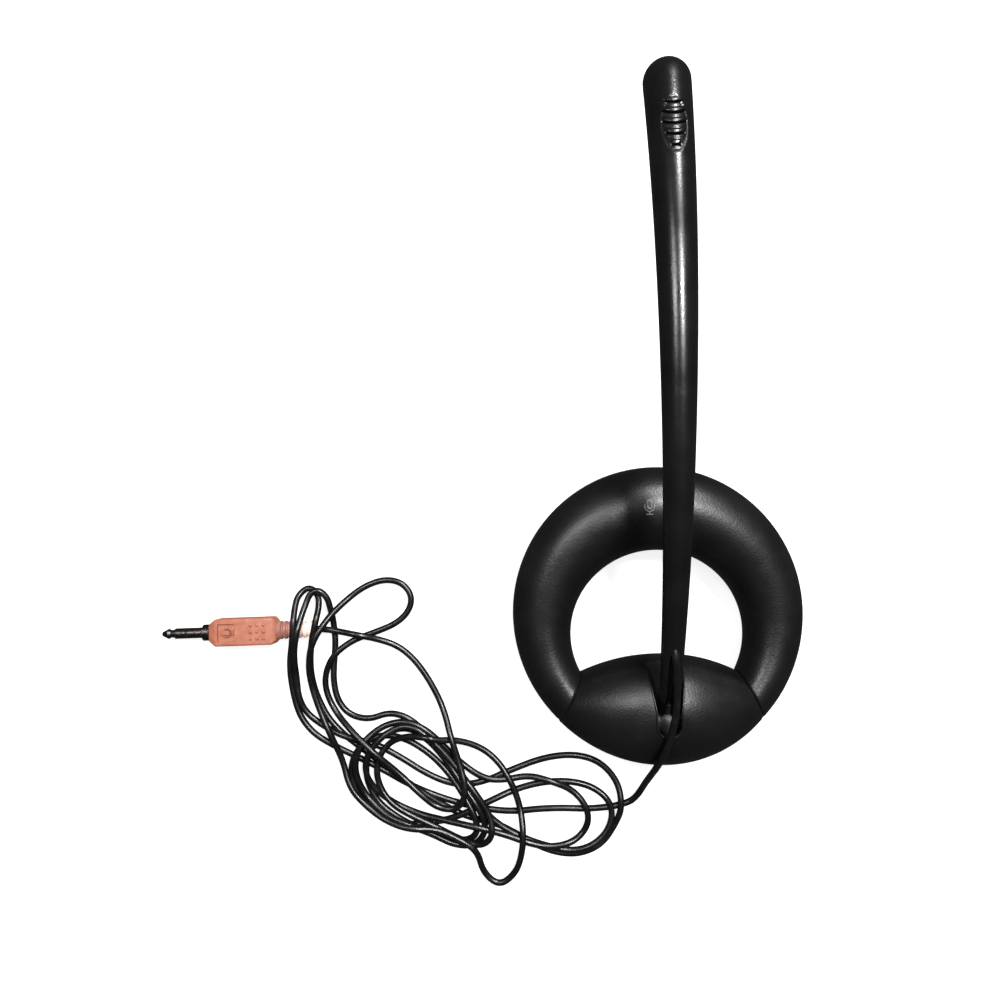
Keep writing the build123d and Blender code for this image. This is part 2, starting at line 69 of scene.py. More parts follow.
def shade(piece, sharp):
    """Weld, point the faces outwards and shade smooth."""
    edit = bmesh.new()
    edit.from_mesh(piece.data)
    bmesh.ops.remove_doubles(edit, verts=edit.verts, dist=1e-7)
    bmesh.ops.recalc_face_normals(edit, faces=edit.faces)
    edit.to_mesh(piece.data)
    edit.free()
    for face in piece.data.polygons:
        face.use_smooth = True
    piece.data.set_sharp_from_angle(angle=math.radians(sharp))


def grid_faces(rows, columns, wrap, first=0):
    """Quads between rows of points; wrap joins the last column to the first."""
    faces = []
    for r in range(rows - 1):
        for c in range(columns if wrap else columns - 1):
            a = first + r * columns + c
            b = first + r * columns + (c + 1) % columns
            faces.append((a, b, b + columns, a + columns))
    return faces


def tube_of(sections):
    """Points and faces of a closed body through rings of equal length, flat at both ends."""
    columns = len(sections[0])
    points = [p for section in sections for p in section]
    faces = grid_faces(len(sections), columns, True)
    faces.append(tuple(range(columns)))
    faces.append(tuple(range(len(points) - columns, len(points))))
    return points, faces


def cut_below(piece, height):
    """Keep what is above a height, in millimetres, closed with a flat face."""
    edit = bmesh.new()
    edit.from_mesh(piece.data)
    every = edit.verts[:] + edit.edges[:] + edit.faces[:]
    cut = bmesh.ops.bisect_plane(edit, geom=every, plane_co=(0, 0, height * MM), plane_no=(0, 0, 1),
                                 clear_inner=True)
    rim = [e for e in cut["geom_cut"] if isinstance(e, bmesh.types.BMEdge)]
    bmesh.ops.contextual_create(edit, geom=rim)
    edit.to_mesh(piece.data)
    edit.free()


def cut_with(piece, cutter):
    """Take the cutter's space out of the piece for good, and drop the cutter."""
    modifier = piece.modifiers.new("cut", "BOOLEAN")
    modifier.operation = "DIFFERENCE"
    modifier.solver = "EXACT"
    modifier.object = cutter
    bpy.context.view_layer.update()
    shaped = piece.evaluated_get(bpy.context.evaluated_depsgraph_get())
    mesh = bpy.data.meshes.new_from_object(shaped)
    piece.modifiers.clear()
    piece.data = mesh
    bpy.data.objects.remove(cutter)


def surface_of(piece):
    """The piece's surface as it is now, in millimetres, to cast rays at."""
    corners = [v.co / MM for v in piece.data.vertices]
    return BVHTree.FromPolygons(corners, [p.vertices for p in piece.data.polygons])


def highest_at(surface, x, y):
    """The surface's highest point at a place in plan, or None beside it."""
    return surface.ray_cast(Vector((x, y, OVERHEAD)), Vector((0, 0, -1)))[0]


def finish_piece(piece, body, slot, material, *nodes):
    """Give a piece its material and body, and let it stand for CAD nodes; slot is not used."""
    piece.data.materials.clear()
    piece.data.materials.append(material)
    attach(piece, body)
    if nodes:
        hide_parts(*nodes)
    return piece


def smooth_step(value, low, high):
    """0 below low, 1 above high, and smooth between."""
    share = min(1.0, max(0.0, (value - low) / (high - low)))
    return share * share * (3 - 2 * share)


# ---------------------------------------------------------------- materials
def new_material(name, colour, roughness, metallic=0.0):
    """A material with its node tree and its shader."""
    material = bpy.data.materials.new(name)
    material.use_nodes = True
    shader = material.node_tree.nodes["Principled BSDF"]
    shader.inputs["Base Color"].default_value = (*colour, 1)
    shader.inputs["Roughness"].default_value = roughness
    shader.inputs["Metallic"].default_value = metallic
    return material, material.node_tree, shader


def noise(tree, scale, detail=3.0, stretch=(1, 1, 1)):
    """Noise in the object's own metres."""
    place = tree.nodes.new("ShaderNodeTexCoord")
    mapping = tree.nodes.new("ShaderNodeMapping")
    mapping.inputs["Scale"].default_value = stretch
    texture = tree.nodes.new("ShaderNodeTexNoise")
    texture.inputs["Scale"].default_value = scale
    texture.inputs["Detail"].default_value = detail
    tree.links.new(place.outputs["Object"], mapping.inputs["Vector"])
    tree.links.new(mapping.outputs["Vector"], texture.inputs["Vector"])
    return texture.outputs["Fac"]


def ranged(tree, source, low, high, new_low, new_high):
    """The source's low..high mapped on to new_low..new_high."""
    node = tree.nodes.new("ShaderNodeMapRange")
    node.inputs["From Min"].default_value = low
    node.inputs["From Max"].default_value = high
    node.inputs["To Min"].default_value = new_low
    node.inputs["To Max"].default_value = new_high
    tree.links.new(source, node.inputs["Value"])
    return node.outputs["Result"]


def two_colours(tree, share, dark, light):
    """A mix of two colours by a share."""
    node = tree.nodes.new("ShaderNodeMix")
    node.data_type = "RGBA"
    node.inputs["A"].default_value = (*dark, 1)
    node.inputs["B"].default_value = (*light, 1)
    tree.links.new(share, node.inputs["Factor"])
    return node.outputs["Result"]


def colour_between(tree, shader, share, dark, light):
    """Colour the shader with a mix of two colours by a share."""
    tree.links.new(two_colours(tree, share, dark, light), shader.inputs["Base Color"])


def add_bump(tree, shader, layers):
    """Chain bumps of (height, strength, depth in metres) into the shader's normal."""
    normal = None
    for height, strength, depth in layers:
        bump = tree.nodes.new("ShaderNodeBump")
        bump.inputs["Strength"].default_value = strength
        bump.inputs["Distance"].default_value = depth
        tree.links.new(height, bump.inputs["Height"])
        if normal is not None:
            tree.links.new(normal, bump.inputs["Normal"])
        normal = bump.outputs["Normal"]
    tree.links.new(normal, shader.inputs["Normal"])


def moulded_plastic(name, colour, roughness, grain=2600, depth=0.00003, strength=0.35, tint=0.25):
    """Fine spark-eroded grain, slight waviness of the moulding, and patches rubbed a little glossier."""
    material, tree, shader = new_material(name, colour, roughness)
    fine = noise(tree, grain, 2.0)
    wide = noise(tree, 55, 3.0)
    rub = noise(tree, 160, 4.0)
    light = tuple(min(1.0, c * (1 + tint) + 0.001) for c in colour)
    dark = tuple(c * (1 - tint) for c in colour)
    colour_between(tree, shader, ranged(tree, wide, 0.3, 0.7, 0, 1), dark, light)
    gloss = ranged(tree, rub, 0.25, 0.75, roughness - 0.05, roughness + 0.05)
    tree.links.new(gloss, shader.inputs["Roughness"])
    add_bump(tree, shader, [(wide, 0.15, 0.0003), (fine, strength, depth)])
    return material


def cord_vinyl():
    """Satin vinyl skin with faint draw marks and dust."""
    material, tree, shader = new_material("cord_vinyl", (0.004, 0.004, 0.0045), 0.34)
    fine = noise(tree, 3200, 3.0)
    dust = noise(tree, 240, 6.0)
    dusty = ranged(tree, dust, 0.5, 0.8, 0, 1)
    colour_between(tree, shader, dusty, (0.0035, 0.0035, 0.004), (0.009, 0.009, 0.009))
    tree.links.new(ranged(tree, dust, 0.3, 0.8, 0.24, 0.38), shader.inputs["Roughness"])
    add_bump(tree, shader, [(fine, 0.25, 0.00002)])
    return material


def pink_vinyl():
    """Salmon moulded vinyl with a soft skin, faint mottling and grey handling marks."""
    material, tree, shader = new_material("pink_vinyl", (0.36, 0.125, 0.075), 0.46)
    shader.inputs["Subsurface Weight"].default_value = 0.08
    shader.inputs["Subsurface Radius"].default_value = (0.001, 0.0005, 0.0004)
    mottle = noise(tree, 420, 4.0)
    fine = noise(tree, 2600, 3.0)
    marked = ranged(tree, mottle, 0.35, 0.7, 0, 1)
    colour_between(tree, shader, marked, (0.32, 0.102, 0.06), (0.39, 0.145, 0.088))
    tree.links.new(ranged(tree, fine, 0.3, 0.7, 0.44, 0.58), shader.inputs["Roughness"])
    add_bump(tree, shader, [(mottle, 0.15, 0.0001), (fine, 0.3, 0.00003)])
    return material


def relief_vinyl():
    """The plug's vinyl where it thins over the cord: paler and bleached towards the cord's end."""
    material, tree, shader = new_material("relief_vinyl", (0.6, 0.3, 0.22), 0.5)
    place = tree.nodes.new("ShaderNodeTexCoord")
    parts = tree.nodes.new("ShaderNodeSeparateXYZ")
    tree.links.new(place.outputs["Object"], parts.inputs["Vector"])
    mottle = noise(tree, 700, 4.0)
    starts = (PLUG_END.x - PALE_FROM) * MM
    pale = ranged(tree, parts.outputs["X"], starts, (PLUG_END.x - PALE_FULL) * MM, 0, 1)
    body = two_colours(tree, ranged(tree, mottle, 0.3, 0.7, 0, 1), (0.22, 0.085, 0.06), (0.34, 0.15, 0.11))
    mix = tree.nodes.new("ShaderNodeMix")
    mix.data_type = "RGBA"
    mix.inputs["B"].default_value = (0.84, 0.60, 0.53, 1)
    tree.links.new(body, mix.inputs["A"])
    tree.links.new(pale, mix.inputs["Factor"])
    tree.links.new(mix.outputs["Result"], shader.inputs["Base Color"])
    add_bump(tree, shader, [(mottle, 0.3, 0.0001)])
    return material


def turned_metal(name, colour, roughness, scale=900):
    """Plated or bright metal with fine turning lines and darker tarnish."""
    material, tree, shader = new_material(name, colour, roughness, 1.0)
    lines = noise(tree, scale, 4.0, (6, 1, 1))
    tarnish = noise(tree, 500, 4.0)
    dull = tuple(c * 0.55 for c in colour)
    colour_between(tree, shader, ranged(tree, tarnish, 0.35, 0.75, 0, 1), colour, dull)
    turned = ranged(tree, lines, 0.3, 0.7, roughness - 0.06, roughness + 0.1)
    tree.links.new(turned, shader.inputs["Roughness"])
    add_bump(tree, shader, [(lines, 0.2, 0.00003)])
    return material


def soft_material(name, colour, cell, depth):
    """Rubber or foam: open cells or a matt skin in the bump, with painted shade darkening the cells' low
    parts.
    """
    material, tree, shader = new_material(name, colour, 0.85)
    cells = noise(tree, cell, 5.0)
    # painted shade: the cells' low parts get the darker colour, as shade in the hollows
    painted_cell_shade = tuple(c * 0.5 for c in colour)
    colour_between(tree, shader, ranged(tree, cells, 0.35, 0.65, 0, 1), painted_cell_shade, colour)
    add_bump(tree, shader, [(cells, 0.7, depth)])
    return material


SHELL = moulded_plastic("shell_black", (0.0032, 0.0032, 0.0034), 0.37, grain=1500, depth=0.00007,
                        strength=0.8)
WAND_SKIN = moulded_plastic("wand_black", (0.0036, 0.0034, 0.0033), 0.25, grain=1700, depth=0.00005,
                            strength=0.7)
NYLON = moulded_plastic("nylon_black", (0.012, 0.012, 0.013), 0.5, grain=1800)
CORD = cord_vinyl()
PINK = pink_vinyl()
PLUG_END = Vector((-113.6, 27.8, 3.6))   # the cord end of the plug's strain relief
PALE_FROM, PALE_FULL = 6.0, 2.5          # from that end: where the relief starts to pale, and is all pale
RELIEF = relief_vinyl()
JACK = turned_metal("jack_metal", (0.17, 0.15, 0.14), 0.28)
STEEL = turned_metal("steel", (0.5, 0.5, 0.51), 0.32)
CAN = turned_metal("capsule_can", (0.62, 0.62, 0.63), 0.3)
INSULATOR = moulded_plastic("insulator", (0.008, 0.008, 0.008), 0.3, depth=0.00001)
RUBBER = soft_material("rubber", (0.02, 0.02, 0.02), 1500, 0.00005)
FOAM = soft_material("foam", (0.04, 0.04, 0.04), 2200, 0.0004)
PAINT = moulded_plastic("mark_paint", (0.12, 0.12, 0.125), 0.5, depth=0.00001)


# ---------------------------------------------------------------- base
BASE_Y = 32.3
OUTER_X, OUTER_Y = 46.7, 47.2
HOLE_X, HOLE_Y = 28.0, 27.0
HOLE_SHIFT = -6.8
SEAM_INNER, SEAM_OUTER = 117.0, 136.0
HOUSING_FRONT = -13.0
BOTTOM_Z, SIT = 1.0, 0.85
FRONT_HALF_H, SIDE_HALF_H, SEAM_HALF_H, HOUSING_HALF_H = 12.0, 8.3, 9.6, 14.5
SWELL_FROM = 80          # degrees from the front where the ring starts to swell towards its seams
HOUSING_PROUD = 0.22     # how far the housing stands out over the ring's ends
END_ROUNDING = ((0.0, 0.26), (0.25, 0.12), (0.6, 0.03), (1.0, 0.0))   # share of the edge, inset


def on_ellipse(half_x, half_y, centre_y, degrees):
    """A plan point on an ellipse, at an angle from its front."""
    angle = math.radians(degrees)
    return Vector((half_x * math.sin(angle), centre_y + half_y * math.cos(angle), 0))


def ring_section(degrees):
    """Inner point, outer point and half-height of the ring's tube, at an angle from the front."""
    inner = on_ellipse(HOLE_X, HOLE_Y, BASE_Y + HOLE_SHIFT, degrees)
    outer = on_ellipse(OUTER_X, OUTER_Y, BASE_Y, degrees * SEAM_OUTER / SEAM_INNER)
    front = (1 + math.cos(math.radians(degrees))) / 2
    half_h = SIDE_HALF_H + (FRONT_HALF_H - SIDE_HALF_H) * front ** 1.6
    to_seam = max(0.0, (abs(degrees) - SWELL_FROM) / (SEAM_INNER - SWELL_FROM))
    return inner, outer, half_h + (SEAM_HALF_H - SIDE_HALF_H) * to_seam ** 1.5


def housing_section(share):
    """The same for the pivot housing, whose share runs from -1 at one seam to 1 at the other."""
    seam = on_ellipse(HOLE_X, HOLE_Y, BASE_Y + HOLE_SHIFT, SEAM_INNER)
    front_y = BASE_Y + HOUSING_FRONT
    sagitta = front_y - seam.y
    radius = (seam.x ** 2 + sagitta ** 2) / (2 * sagitta)
    x = share * seam.x
    inner = Vector((x, front_y - radius + math.sqrt(radius ** 2 - x ** 2), 0))
    outer = on_ellipse(OUTER_X, OUTER_Y, BASE_Y, 180 - share * (180 - SEAM_OUTER))
    rise = max(0.0, math.cos(math.radians(90 * share))) ** 0.9
    return inner, outer, SEAM_HALF_H + (HOUSING_HALF_H - SEAM_HALF_H) * rise


def oval_ring(inner, outer, half_h, inset, columns=80):
    """Points of an upright oval between two plan points."""
    along = (outer - inner).normalized()
    middle = (inner + outer) / 2
    half_w = (outer - inner).length / 2 - inset
    ring = []
    for i in range(columns):
        turn = math.tau * i / columns
        height = BOTTOM_Z + SIT * half_h + (half_h - inset) * math.sin(turn)
        ring.append(middle + along * half_w * math.cos(turn) + Vector((0, 0, height)))
    return ring


def rounded_ends(count, end, edge):
    """(place, inset) pairs from -end to end, whose insets round both ends over."""
    places = [(end * (2 * i / count - 1), 0.0) for i in range(1, count)]
    rounding = [(end - edge * away, inset) for away, inset in END_ROUNDING]
    inside = [(p, i) for p, i in places if abs(p) < end - 1.2 * edge]
    return [(-p, i) for p, i in rounding] + inside + [(p, i) for p, i in reversed(rounding)]


def build_ring_cover():
    """The ring's tube from seam to seam, cut flat where the base plate starts."""
    sections = [oval_ring(*ring_section(a), inset) for a, inset in rounded_ends(170, SEAM_INNER, 1.1)]
    piece = mesh_object("ring_cover_shell", *tube_of(sections))
    cut_below(piece, SPLIT_Z)
    shade(piece, 35)
    return finish_piece(piece, "root", "black_shell", SHELL, "ring_cover")


SLOT_HALF, SLOT_REAR, SLOT_FLOOR = 3.7, -3.9, 19.0
SLOT_CUTTER_TOP = 60.0
FLARE_FROM = 4.0         # the slot widens in front of this
SLOT_FLARE = 0.16        # how much wider each side gets for a millimetre further forward
LIP_OUT, LIP_RISE, LIP_R = 0.12, 0.02, 0.34   # the raised lip round the slot


def slot_outline(grow=0.0):
    """Plan of the wand's slot from its left front, round the rear end, to its right front."""
    side = []
    for y in (30.0, 20.0, 16.0, 12.0, 9.0, 6.0, 4.0, 2.0):
        side.append((SLOT_HALF + grow + SLOT_FLARE * max(0.0, y - FLARE_FROM), y))
    rear = []
    for i in range(13):
        turn = math.pi * i / 12
        rear.append((-(SLOT_HALF + grow) * math.cos(turn),
                     SLOT_REAR + SLOT_HALF - (SLOT_HALF + grow) * math.sin(turn)))
    return [(-x, y) for x, y in side] + rear + list(reversed(side))


def build_housing():
    """Bulged housing with the wand's slot and a raised lip round it."""
    places = rounded_ends(130, 1.0, 0.022)
    sections = [oval_ring(*housing_section(s), inset - HOUSING_PROUD, 96) for s, inset in places]
    piece = mesh_object("pivot_housing_shell", *tube_of(sections))
    cut_below(piece, SPLIT_Z)
    surface = surface_of(piece)
    outline = slot_outline()
    low = [(x, y, SLOT_FLOOR) for x, y in outline]
    high = [(x, y, SLOT_CUTTER_TOP) for x, y in outline]
    cutter = mesh_object("slot_cutter", *tube_of([low, high]))
    cut_with(piece, cutter)
    shade(piece, 35)
    finish_piece(piece, "root", "black_shell", SHELL, "pivot_housing")

    lip = []
    for x, y in slot_outline(LIP_OUT):
        hit = highest_at(surface, x, y)
        if hit is not None and hit.z > SLOT_FLOOR + 1.0:
            lip.append(Vector((x, y, hit.z + LIP_RISE)))
    path = nurbs_points(lip, 6)
    edge = mesh_object("slot_lip", *round_tube(path, LIP_R, 12))
    return finish_piece(edge, "root", "black_shell", SHELL)


def nurbs_points(points, resolution):
    """Points in millimetres along the smooth NURBS line that control points shape."""
    line = new_curve("path_line", points, 0.0, resolution)
    mesh = bpy.data.meshes.new_from_object(line)
    route = [v.co / MM for v in mesh.vertices]
    bpy.data.objects.remove(line)
    return route


def new_curve(name, points, thickness, resolution):
    """A NURBS curve of order 3 through control points in millimetres."""
    curve = bpy.data.curves.new(name, "CURVE")
    curve.dimensions = "3D"
    curve.resolution_u = resolution
    spline = curve.splines.new("NURBS")
    spline.points.add(len(points) - 1)
    for slot, point in zip(spline.points, points):
        slot.co = (*(Vector(point) * MM), 1)
    spline.order_u = 3
    spline.use_endpoint_u = True
    if thickness:
        curve.bevel_depth = thickness / 2 * MM
        curve.bevel_resolution = 5
        curve.use_fill_caps = True
    piece = bpy.data.objects.new(name, curve)
    bpy.context.scene.collection.objects.link(piece)
    bpy.context.view_layer.update()
    return piece


def round_tube(path, radius, columns):
    """Points and faces of a round tube along a list of points."""
    sections = []
    side = None
    for i, here in enumerate(path):
        ahead = (path[min(i + 1, len(path) - 1)] - path[max(i - 1, 0)]).normalized()
        if side is None:
            side = ahead.cross(Vector((0, 0, 1)))
            if side.length < 0.1:
                side = ahead.cross(Vector((1, 0, 0)))
        side = (side - ahead * side.dot(ahead)).normalized()
        up = side.cross(ahead)
        turns = [math.tau * k / columns for k in range(columns)]
        sections.append([here + side * radius * math.cos(t) + up * radius * math.sin(t) for t in turns])
    return tube_of(sections)


# ---------------------------------------------------------------- wand
WAND_LINE = 8.0
WAND_START, WAND_BEND, WAND_END = 42.0, 24.0, -14.0
BEND_R, BOW_R = 45.0, 269.8
HALF_W_LOW, HALF_W_TOP = 3.0, 7.1
DEPTH_SHARE = 0.92
SHELL_START = 5.2
WAND_LENGTH = (WAND_LINE + BEND_R * math.radians(WAND_START - WAND_BEND)
               + BOW_R * math.radians(WAND_BEND - WAND_END))
HEAD_L = HALF_W_TOP
GRILLE_BACK = 25.0
GRILLE_PITCH = 3.2
GRILLE_WIDTHS = (2.5, 5.2, 6.5, 6.5, 5.2)   # from the base side to the tip
GRILLE_HALF_W, GRILLE_HALF_L, GRILLE_RECESS = 3.75, 8.6, 0.25
GRILLE_SPAN = 11         # rows of points are closest within this of the grille's centre
LOUVRE_BOW, BOW_HALF_W, LOUVRE_REACH = 1.1, 3.3, 2.2
GAP_DEPTH = 1.0
LIP_H, LIP_AT, LIP_SPREAD = 0.4, 0.85, 0.5          # raised edge on the tip side of a gap
SILL_H, SILL_AT, SILL_SPREAD = 0.06, -0.75, 0.35    # faint one on its base side
SLIT_TOP, SLIT_HALF, SLIT_DEPTH = 30.0, 1.3, 2.3
SEAM_H, SEAM_DRAW = 0.32, 0.035   # groove at the parting line: its height, and the share drawn in
SEAM_GAP = 0.03          # half the space between the two shells there
CALM_H = 0.8             # grille and slit fade out this close to the parting line
SKIN_WALL = 1.15


def wand_at(distance):
    """Point on the wand's middle line, and its slope in degrees."""
    y = WAND_LINE * math.cos(math.radians(WAND_START))
    z = AXIS_Z + WAND_LINE * math.sin(math.radians(WAND_START))
    if distance <= WAND_LINE:
        share = distance / WAND_LINE
        return Vector((0, y * share, AXIS_Z + (z - AXIS_Z) * share)), WAND_START
    left = distance - WAND_LINE
    slope = WAND_START
    for radius, end in ((BEND_R, WAND_BEND), (BOW_R, WAND_END)):
        turn = min(math.degrees(left / radius), slope - end)
        new = slope - turn
        y += radius * (math.sin(math.radians(slope)) - math.sin(math.radians(new)))
        z += radius * (math.cos(math.radians(new)) - math.cos(math.radians(slope)))
        left -= radius * math.radians(turn)
        slope = new
    return Vector((0, y, z)), slope


def wand_size(distance):
    """Half-width and half-depth of the wand, closing over the domed head."""
    last = WAND_LENGTH - HEAD_L
    half_w = HALF_W_LOW + (HALF_W_TOP - HALF_W_LOW) * (min(distance, last) / WAND_LENGTH) ** 1.15
    share = max(0.0, (distance - last) / HEAD_L)
    close = math.sqrt(max(0.0, 1 - share ** 2))
    return half_w * close, half_w * DEPTH_SHARE * close


def wand_point(distance, across, lift):
    """A point beside the wand's middle line; lift is towards its rear side."""
    point, slope = wand_at(distance)
    up = Vector((0, -math.sin(math.radians(slope)), math.cos(math.radians(slope))))
    return point + up * lift + Vector((across, 0, 0))


def grille_depth(distance, across):
    """Depth of the grille's recess, louvres and dark gaps below the wand's skin."""
    centre = WAND_LENGTH - GRILLE_BACK
    u = distance - centre
    oval = math.hypot(across / GRILLE_HALF_W, u / GRILLE_HALF_L)
    if oval > 1.25:
        return 0.0
    depth = GRILLE_RECESS * (1 - smooth_step(oval, 0.84, 1.06))
    for i, width in enumerate(GRILLE_WIDTHS):
        bow = LOUVRE_BOW * (across / BOW_HALF_W) ** 2
        s = u - (i - 2) * GRILLE_PITCH - bow
        if abs(s) > LOUVRE_REACH:
            continue
        inside = 1 - smooth_step(abs(across), width / 2 - 0.35, width / 2 + 0.1)
        gap = 1 - smooth_step(abs(s), 0.12, 0.3)
        lip = math.exp(-((s - LIP_AT) / LIP_SPREAD) ** 2)
        sill = math.exp(-((s - SILL_AT) / SILL_SPREAD) ** 2)
        depth += inside * (GAP_DEPTH * gap - LIP_H * lip * (1 - gap) - SILL_H * sill * (1 - gap))
    return depth


def slit_depth(distance, across):
    """Depth of the channel in the rear side that lets the cord out."""
    if distance > SLIT_TOP:
        return 0.0
    half = SLIT_HALF * math.sqrt(max(0.02, min(1.0, (SLIT_TOP - distance) / 3.5)))
    return SLIT_DEPTH * (1 - smooth_step(abs(across), half - 0.25, half + 0.12))


def wand_rows():
    """Distances along the wand, closest together at the slit, the grille and the dome."""
    centre = WAND_LENGTH - GRILLE_BACK
    rows = [SHELL_START + i * 0.3 for i in range(int((SLIT_TOP + 1 - SHELL_START) / 0.3))]
    rows += [SLIT_TOP + 1 + i * 1.6 for i in range(int((centre - GRILLE_SPAN - SLIT_TOP - 2) / 1.6))]
    rows += [centre - GRILLE_SPAN + i * 0.11 for i in range(int(2 * GRILLE_SPAN / 0.11))]
    rows += [centre + GRILLE_SPAN + i * 0.8 for i in range(int((GRILLE_BACK - GRILLE_SPAN - HEAD_L) / 0.8))]
    last = WAND_LENGTH - HEAD_L
    rows += [last + HEAD_L * math.sin(math.radians(90 * i / 16)) for i in range(1, 16)]
    return rows


def half_shell(name, rear):
    """One half of the wand: skin, inner face and the parting faces between them."""
    sign = 1 if rear else -1
    columns = 88
    rows = wand_rows()
    outer, inner = [], []
    for distance in rows:
        half_w, half_d = wand_size(distance)
        for c in range(columns):
            turn = math.pi * c / (columns - 1)
            x = half_w * math.cos(turn)
            lift = half_d * math.sin(turn)
            edge = 1 - smooth_step(lift, 0.0, SEAM_H)
            depth = grille_depth(distance, x)
            if rear:
                depth = max(depth, slit_depth(distance, x))
            if lift < CALM_H:
                depth *= lift / CALM_H
            outer.append(wand_point(distance, x * (1 - SEAM_DRAW * edge), sign * max(SEAM_GAP, lift - depth)))
            wall = min(SKIN_WALL, half_w * 0.45)
            behind = max(SEAM_GAP, (half_d - wall) * math.sin(turn) - max(0.0, depth * 0.9))
            inner.append(wand_point(distance, (half_w - wall) * math.cos(turn), sign * behind))
    count = len(rows)
    points = outer + inner
    total = count * columns
    faces = grid_faces(count, columns, False)
    faces += [tuple(reversed(f)) for f in grid_faces(count, columns, False, total)]
    for r in range(count - 1):
        for c in (0, columns - 1):
            a = r * columns + c
            faces.append((a, a + columns, a + columns + total, a + total))
    for c in range(columns - 1):
        for r in (0, count - 1):
            a = r * columns + c
            faces.append((a, a + 1, a + 1 + total, a + total))
    return mesh_object(name, points, faces, 40)


def build_wand():
    """Both halves of the wand, the rear one with the slit."""
    rear = half_shell("wand_rear_half", True)
    finish_piece(rear, "wand", "black_shell", WAND_SKIN, "wand_rear_shell")
    front = half_shell("wand_front_half", False)
    finish_piece(front, "wand", "black_shell", WAND_SKIN, "wand_front_shell")


# ---------------------------------------------------------------- cord
CORD_D = 2.1
# Control points of the run inside the slit and over the housing, from the wand to the free cord.
EXIT_STUB = [
    (0.0, 26.6, 37.4), (0.1, 24.4, 37.6), (0.2, 22.0, 37.9), (0.4, 19.0, 37.3), (0.6, 16.4, 36.4),
    (0.9, 13.4, 35.3), (1.1, 9.6, 34.1), (1.0, 5.6, 32.7), (0.7, 1.8, 31.1), (0.2, -1.4, 29.9),
    (-0.6, -4.6, 29.2), (-1.8, -8.2, 27.8), (-3.0, -11.6, 25.2),
]
EXIT = (-3.8, -14.6, 21.7)
